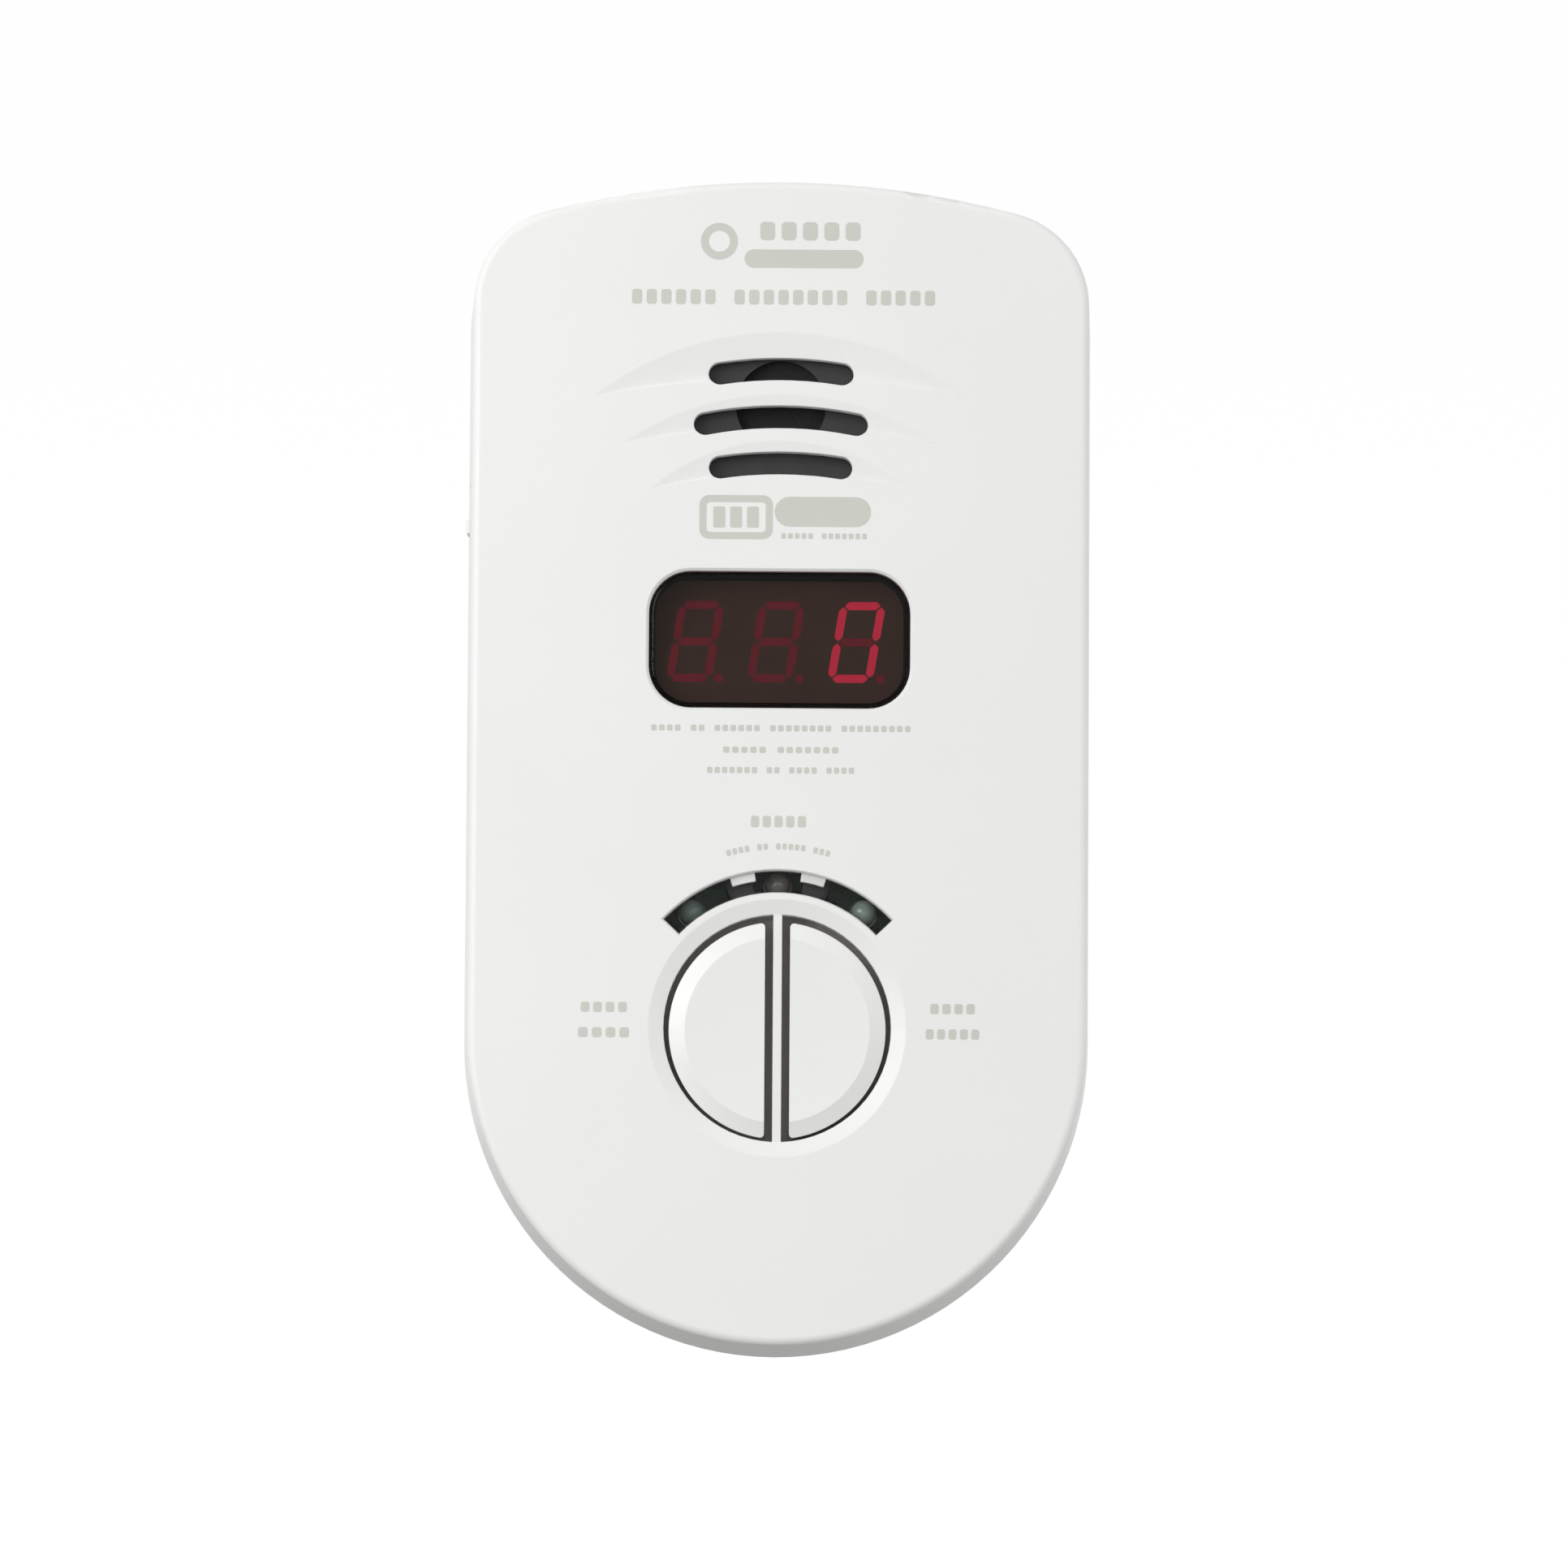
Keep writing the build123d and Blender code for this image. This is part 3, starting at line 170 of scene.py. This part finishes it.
def glowing(name, colour, strength, body):
    """Translucent epoxy bar of the display with light coming through it, a little uneven. On unlit
    segments the glow is painted light.
    """
    nodes = Nodes(name)
    shader = nodes.add("ShaderNodeBsdfPrincipled", Roughness=0.35)
    grain = nodes.noise(2.5, detail=2.0)
    nodes.join(nodes.tint(grain, shade(body, 0.9), shade(body, 1.1)), shader.inputs["Base Color"])
    nodes.join(nodes.tint(grain, shade(colour, 0.9), colour), shader.inputs["Emission Color"])
    shader.inputs["Emission Strength"].default_value = strength
    nodes.join(nodes.bump(grain, 0.003), shader.inputs["Normal"])
    return nodes.finish(shader.outputs["BSDF"])


def board_material():
    """Green solder mask with copper tracks that show as slightly raised, lighter lines."""
    nodes = Nodes("board")
    shader = nodes.add("ShaderNodeBsdfPrincipled", Roughness=0.35)
    brick = nodes.add(
        "ShaderNodeTexBrick",
        Color1=(0.02, 0.16, 0.07, 1),
        Color2=(0.025, 0.18, 0.08, 1),
        Mortar=(0.05, 0.28, 0.13, 1),
        Scale=1 / (12 * MM),
        Mortar_Size=0.03,
    )
    turned = nodes.add("ShaderNodeMapping", Rotation=(math.pi / 2, 0, 0))
    nodes.join(nodes.place, turned.inputs["Vector"])
    nodes.join(turned.outputs["Vector"], brick.inputs["Vector"])
    nodes.join(brick.outputs["Color"], shader.inputs["Base Color"])
    nodes.join(nodes.bump(brick.outputs["Fac"], 0.03), shader.inputs["Normal"])
    return nodes.finish(shader.outputs["BSDF"])


def winding_material():
    """Enamelled copper in fine turns about the coil's axis."""
    nodes = Nodes("copper")
    shader = nodes.add("ShaderNodeBsdfPrincipled", Metallic=1.0, Roughness=0.3)
    wave = nodes.add("ShaderNodeTexWave", Scale=0.35 / MM, Distortion=0.4, bands_direction="Y")
    nodes.join(nodes.place, wave.inputs["Vector"])
    nodes.join(
        nodes.tint(wave.outputs["Fac"], (0.3, 0.09, 0.03), (0.75, 0.3, 0.12)),
        shader.inputs["Base Color"],
    )
    nodes.join(nodes.bump(wave.outputs["Fac"], 0.05), shader.inputs["Normal"])
    return nodes.finish(shader.outputs["BSDF"])


def floor_material():
    nodes = Nodes("floor")
    shader = nodes.add("ShaderNodeBsdfPrincipled", Roughness=0.7)
    clouds = nodes.noise(0.004, detail=3.0)
    nodes.join(nodes.tint(clouds, (0.42, 0.42, 0.42), (0.46, 0.46, 0.45)), shader.inputs["Base Color"])
    return nodes.finish(shader.outputs["BSDF"])


OFF_WHITE = (0.855, 0.86, 0.845)
BLACK = (0.022, 0.022, 0.024)
SEAL_GREY = (0.44, 0.4, 0.37)


def slot_materials():
    """One material for each slot of the record."""
    black = surface("black_moulding", BLACK, 0.5, variation=0.12, grain_mm=0.006)
    # Near-black disc behind the sounder holes: painted shade that makes the slots dark, where the real
    # darkness is shadow inside the holes.
    painted_shade_foam = surface("painted_shade_foam", (0.02, 0.02, 0.02), 0.95, grain_per_mm=3.0, grain_mm=0.12)
    return {
        "cover_plastic": surface("cover", OFF_WHITE, 0.42, variation=0.008, grain_mm=0.0025,
                                 edge_mm=0.18),
        "rear_plastic": surface("rear", shade(OFF_WHITE, 0.97), 0.55, variation=0.012, grain_per_mm=4.0,
                                grain_mm=0.015, edge_mm=0.15),
        "button_plastic": surface("button", OFF_WHITE, 0.36, variation=0.008, grain_mm=0.002,
                                  edge_mm=0.12),
        "screw_steel": surface("zinc", (0.6, 0.61, 0.6), 0.32, variation=0.1, patch_per_mm=0.6,
                               metallic=1.0, grain_mm=0.01),
        "label_paper": surface("film", (0.66, 0.67, 0.67), 0.38, variation=0.02, metallic=0.3),
        "blade_nickel": surface("nickel", (0.72, 0.7, 0.66), 0.26, variation=0.05, patch_per_mm=0.3,
                                metallic=1.0, brushed=(1, 0.06, 1), grain_mm=0.004),
        "contact_brass": surface("brass", (0.7, 0.5, 0.2), 0.32, variation=0.1, metallic=1.0),
        "black_plastic": black,
        "tinned_lead": surface("tin", (0.72, 0.72, 0.73), 0.3, variation=0.06, metallic=1.0),
        "smoked_lens": window("smoked_window", (0.53, 0.45, 0.43), 1.26),
        "black_foam": painted_shade_foam,
        "seal_rubber": surface("seal", SEAL_GREY, 0.7, variation=0.08, grain_mm=0.008),
        "display_face": surface("display_face", (0.42, 0.43, 0.38), 0.6, variation=0.05,
                                grain_mm=0.001),
        "segment_lit": glowing("segment_lit", (0.95, 0.045, 0.14), 1.35, (0.3, 0.08, 0.09)),
        # Unlit segments: their weak glow is painted light, since they are switched off.
        "segment_dark": glowing("segment_dark", (0.5, 0.035, 0.1), 0.5, (0.3, 0.1, 0.1)),
        "clear_lens": window("clear_window", (0.985, 0.985, 0.98), 1.3),
        "led_green": surface("lamp_green", (0.42, 0.47, 0.39), 0.12, variation=0.05,
                             Subsurface_Weight=0.4, Coat_Weight=0.5),
        "led_red": surface("lamp_red", (0.4, 0.3, 0.28), 0.12, variation=0.05,
                           Subsurface_Weight=0.4, Coat_Weight=0.5),
        "led_amber": surface("lamp_amber", (0.56, 0.58, 0.46), 0.12, variation=0.05,
                             Subsurface_Weight=0.4, Coat_Weight=0.5),
        "piezo_ceramic": surface("silvered", (0.75, 0.74, 0.7), 0.4, variation=0.08, metallic=0.6),
        "wire_red": surface("wire_red", (0.5, 0.03, 0.02), 0.4, variation=0.06),
        "wire_black": surface("wire_black", BLACK, 0.4, variation=0.06),
        "circuit_board": board_material(),
        "sensor_steel": surface("pressed_steel", (0.6, 0.6, 0.6), 0.3, variation=0.05,
                                patch_per_mm=0.4, metallic=1.0),
        "battery_sleeve": surface("sleeve_blue", (0.05, 0.13, 0.35), 0.2, variation=0.08,
                                  Coat_Weight=0.4),
        "capacitor_yellow": surface("case_yellow", (0.75, 0.5, 0.06), 0.3, variation=0.05),
        "capacitor_sleeve": surface("sleeve_dark", (0.025, 0.03, 0.06), 0.25, variation=0.08,
                                    Coat_Weight=0.3),
        "varistor_blue": surface("epoxy_blue", (0.04, 0.15, 0.42), 0.25, variation=0.08,
                                 grain_per_mm=1.2, grain_mm=0.05),
        "resistor_body": surface("coating", (0.22, 0.27, 0.29), 0.5, variation=0.1),
        "ferrite": surface("ferrite", (0.06, 0.06, 0.065), 0.5, variation=0.2, grain_mm=0.02),
        "copper_wire": winding_material(),
    }


def paint_nodes(materials):
    """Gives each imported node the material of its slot."""
    for part in frame["record"]["subparts"]:
        mesh = frame["nodes"][part["node"]].data
        mesh.materials.clear()
        mesh.materials.append(materials[part["material_slot"]])


# ---- Printed marks ----

INK_LIFT = 0.02 * MM
INK_SINK = 0.03 * MM


def circle_points(x, z, radius, count=40):
    turn = 2 * math.pi / count
    return [(x + radius * math.cos(turn * i), z + radius * math.sin(turn * i)) for i in range(count)]


def bar_points(x, z, width, height, radius=None, steps=5):
    """Bar with round corners, in millimetres about its centre."""
    radius = min(width, height) / 2 if radius is None else radius
    points = []
    for corner, (sx, sz) in enumerate(((1, 1), (-1, 1), (-1, -1), (1, -1))):
        for step in range(steps + 1):
            turn = math.pi / 2 * (corner + step / steps)
            points.append((
                x + sx * (width / 2 - radius) + radius * math.cos(turn),
                z + sz * (height / 2 - radius) + radius * math.sin(turn),
            ))
    return points


def raised(bm, points, near, far):
    """Closed prism on a printed outline, between two Y planes in metres."""
    top = [bm.verts.new((x * MM, near, z * MM)) for x, z in points]
    base = [bm.verts.new((x * MM, far, z * MM)) for x, z in points]
    bm.faces.new(top)
    bm.faces.new(list(reversed(base)))
    for i in range(len(points)):
        j = (i + 1) % len(points)
        bm.faces.new((top[j], top[i], base[i], base[j]))


def raised_frame(bm, outer, inner, near, far):
    """Closed prism between two outlines with the same number of points."""
    rings = []
    for points, y in ((outer, near), (inner, near), (inner, far), (outer, far)):
        rings.append([bm.verts.new((x * MM, y, z * MM)) for x, z in points])
    for r in range(4):
        here, after = rings[r], rings[(r + 1) % 4]
        for i in range(len(outer)):
            j = (i + 1) % len(outer)
            bm.faces.new((here[i], here[j], after[j], after[i]))


def printed(name, fills, frames, material, near=None, far=None):
    """One piece of ink made of filled outlines and outline frames."""
    near = FACE_Y - INK_LIFT if near is None else near
    far = FACE_Y + INK_SINK if far is None else far
    bm = bmesh.new()
    for points in fills:
        raised(bm, points, near, far)
    for outer, inner in frames:
        raised_frame(bm, outer, inner, near, far)
    bmesh.ops.recalc_face_normals(bm, faces=bm.faces)
    mesh = bpy.data.meshes.new(name)
    bm.to_mesh(mesh)
    bm.free()
    mesh.materials.append(material)
    piece = bpy.data.objects.new(name, mesh)
    bpy.context.scene.collection.objects.link(piece)
    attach(piece, "housing")
    return piece


def blocks(x, z, counts, width, height):
    """A line of small plain blocks that stands for words with the given counts of letters."""
    pitch = width / (sum(counts) + len(counts) - 1)
    shapes = []
    left = x - width / 2
    for count in counts:
        for _ in range(count):
            shapes.append(bar_points(left + pitch / 2, z, 0.7 * pitch, height, radius=0.2 * pitch))
            left += pitch
        left += pitch
    return shapes


def wrapped(shapes, radius, centre_z):
    """Outlines bent round a centre, so that a straight line of print follows an arc."""
    bent = []
    for points in shapes:
        turned = []
        for x, z in points:
            reach = z - centre_z
            turned.append((reach * math.sin(x / radius), centre_z + reach * math.cos(x / radius)))
        bent.append(turned)
    return bent


def front_print(ink):
    """Plain marks where the front carries its printing: heights are in millimetres above the middle."""
    middle = MIDDLE_Z / MM
    button = BUTTON_Z / MM
    printed(
        "print_top_mark",
        blocks(3.2, middle + 60.1, [5], 12.1, 2.1) + [bar_points(2.5, middle + 56.95, 13.5, 2.1)],
        [(circle_points(-7.1, middle + 58.9, 2.1), circle_points(-7.1, middle + 58.9, 1.2))],
        ink,
    )
    printed("print_title_blocks", blocks(0.2, middle + 52.55, [6, 8, 5], 34.8, 1.7), [], ink)
    badge_x = -5.0
    badge_z = middle + 27.5
    cells = [bar_points(badge_x + shift, badge_z, 1.35, 2.4, radius=0.2) for shift in (-1.9, 0, 1.9)]
    cells.append(bar_points(4.8, badge_z + 0.65, 10.9, 3.4))
    cells += blocks(4.95, badge_z - 2.1, [5, 7], 9.9, 0.65)
    printed(
        "print_battery_badge",
        cells,
        [(
            bar_points(badge_x, badge_z, 8.3, 5.0, radius=1.1),
            bar_points(badge_x, badge_z, 6.7, 3.4, radius=0.45),
        )],
        ink,
    )
    notes = blocks(0.2, middle + 3.6, [4, 2, 6, 8, 9], 29.5, 0.7)
    notes += blocks(0.2, middle + 1.15, [5, 7], 13.3, 0.7)
    notes += blocks(0.2, middle - 1.15, [7, 2, 4, 4], 16.8, 0.7)
    printed("print_note_blocks", notes, [], ink)
    arc = wrapped(blocks(0, button + 20.7, [4, 2, 5, 3], 12.0, 0.7), 20.7, button)
    printed("print_light_blocks", blocks(0, middle - 6.95, [5], 6.6, 1.3) + arc, [], ink)
    left = blocks(-19.5, button + 2.5, [4], 5.6, 1.15) + blocks(-19.5, button - 0.35, [4], 6.2, 1.15)
    printed("print_left_button_blocks", left, [], ink)
    right = blocks(19.7, button + 2.5, [4], 5.4, 1.15) + blocks(19.7, button - 0.35, [5], 6.4, 1.15)
    printed("print_right_button_blocks", right, [], ink)


def label_print(ink):
    """Plain rules and bars on the rear label, which is otherwise blank."""
    x = (LABEL_LOW.x + LABEL_HIGH.x) / 2 / MM
    z = (LABEL_LOW.z + LABEL_HIGH.z) / 2 / MM
    width = (LABEL_HIGH.x - LABEL_LOW.x) / MM
    height = (LABEL_HIGH.z - LABEL_LOW.z) / MM
    near = LABEL_LOW.y - INK_LIFT
    far = LABEL_HIGH.y + INK_LIFT
    border = (
        bar_points(x, z, width - 2.0, height - 2.0, radius=1.0),
        bar_points(x, z, width - 2.6, height - 2.6, radius=0.7),
    )
    fills = []
    for row, counts in enumerate(([9, 5], [5, 7, 4], [8, 4], [5, 5, 6])):
        fills += blocks(x, z + 7.5 - 4.2 * row, counts, 30.0, 1.1)
    return printed("print_rear_label", fills, [border], ink, near=near, far=far)


# ---- Floor, light and camera ----

FLOOR_Z = -0.42
FLOOR_HALF = 8.0
BODY_CENTRE = (0, 0, MIDDLE_Z)


def floor_piece(material):
    mesh = bpy.data.meshes.new("floor")
    signs = ((-1, -1), (1, -1), (1, 1), (-1, 1))
    corners = [(FLOOR_HALF * x, FLOOR_HALF * y, FLOOR_Z) for x, y in signs]
    mesh.from_pydata(corners, [], [(0, 1, 2, 3)])
    mesh.materials.append(material)
    floor = bpy.data.objects.new("floor", mesh)
    bpy.context.scene.collection.objects.link(floor)


def softbox(name, place, target, size, power):
    light = bpy.data.lights.new(name, "AREA")
    light.shape = "DISK"
    light.size = size
    light.energy = power
    lamp = bpy.data.objects.new(name, light)
    lamp.location = place
    lamp.rotation_euler = (Vector(target) - Vector(place)).to_track_quat("-Z", "Y").to_euler()
    bpy.context.scene.collection.objects.link(lamp)


def white_world(full, dim, upward_loss):
    """White surroundings in front and behind, dimmer all round the sides and a little dimmer upward."""
    world = bpy.data.worlds.new("studio")
    bpy.context.scene.world = world
    world.use_nodes = True
    tree = world.node_tree
    background = tree.nodes["Background"]
    background.inputs["Color"].default_value = (1, 1, 1, 1)
    direction = tree.nodes.new("ShaderNodeTexCoord")
    split = tree.nodes.new("ShaderNodeSeparateXYZ")
    fade = tree.nodes.new("ShaderNodeMapRange")
    for socket, value in (("From Min", 0.3), ("From Max", 0.85), ("To Min", dim), ("To Max", full)):
        fade.inputs[socket].default_value = value
    size = tree.nodes.new("ShaderNodeMath")
    size.operation = "ABSOLUTE"
    tree.links.new(direction.outputs["Generated"], split.inputs["Vector"])
    tree.links.new(split.outputs["Y"], size.inputs[0])
    tree.links.new(size.outputs["Value"], fade.inputs["Value"])
    loss = tree.nodes.new("ShaderNodeMath")
    loss.operation = "MULTIPLY_ADD"
    loss.inputs[1].default_value = -upward_loss
    loss.inputs[2].default_value = 1
    tree.links.new(split.outputs["Z"], loss.inputs[0])
    strength = tree.nodes.new("ShaderNodeMath")
    strength.operation = "MULTIPLY"
    tree.links.new(fade.outputs["Result"], strength.inputs[0])
    tree.links.new(loss.outputs["Value"], strength.inputs[1])
    tree.links.new(strength.outputs["Value"], background.inputs["Strength"])


# Lengths in metres, angles in degrees.
CAMERA_DISTANCE = 0.9
VIEW_WIDTH = 0.1766
SENSOR = 36.0
PITCH = 4.5
YAW = -0.3
ROLL = 0.36
AIM = Vector((0.0006, FACE_Y, -0.0185))


def make_camera():
    """Long-lens view of the front from slightly below its middle."""
    data = bpy.data.cameras.new("camera")
    data.sensor_width = SENSOR
    data.lens = SENSOR * CAMERA_DISTANCE / VIEW_WIDTH
    data.clip_start = 0.05
    data.clip_end = 50
    camera = bpy.data.objects.new("camera", data)
    pitch = math.radians(PITCH)
    yaw = math.radians(YAW)
    back = Vector((math.sin(yaw) * math.cos(pitch), -math.cos(yaw) * math.cos(pitch), -math.sin(pitch)))
    camera.location = AIM + back * CAMERA_DISTANCE
    aimed = (-back).to_track_quat("-Z", "Y").to_matrix().to_4x4()
    roll = Matrix.Rotation(math.radians(ROLL), 4, "Z")
    camera.rotation_euler = (aimed @ roll).to_euler()
    bpy.context.scene.collection.objects.link(camera)
    bpy.context.scene.camera = camera


make_camera()
bpy.context.scene.view_settings.view_transform = "Standard"
white_world(full=1.02, dim=0.8, upward_loss=0.18)
softbox("key", (-0.35, -0.43, 0.1), BODY_CENTRE, size=0.4, power=1.35)
softbox("side_fill", (0.8, -0.08, -0.1), BODY_CENTRE, size=0.5, power=0.8)
floor_piece(floor_material())

paint_nodes(slot_materials())
INK = surface("ink", (0.6, 0.61, 0.555), 0.5, variation=0.02)
LABEL_INK = surface("label_ink", (0.12, 0.12, 0.13), 0.5, variation=0.05)
front_print(INK)
label_print(LABEL_INK)
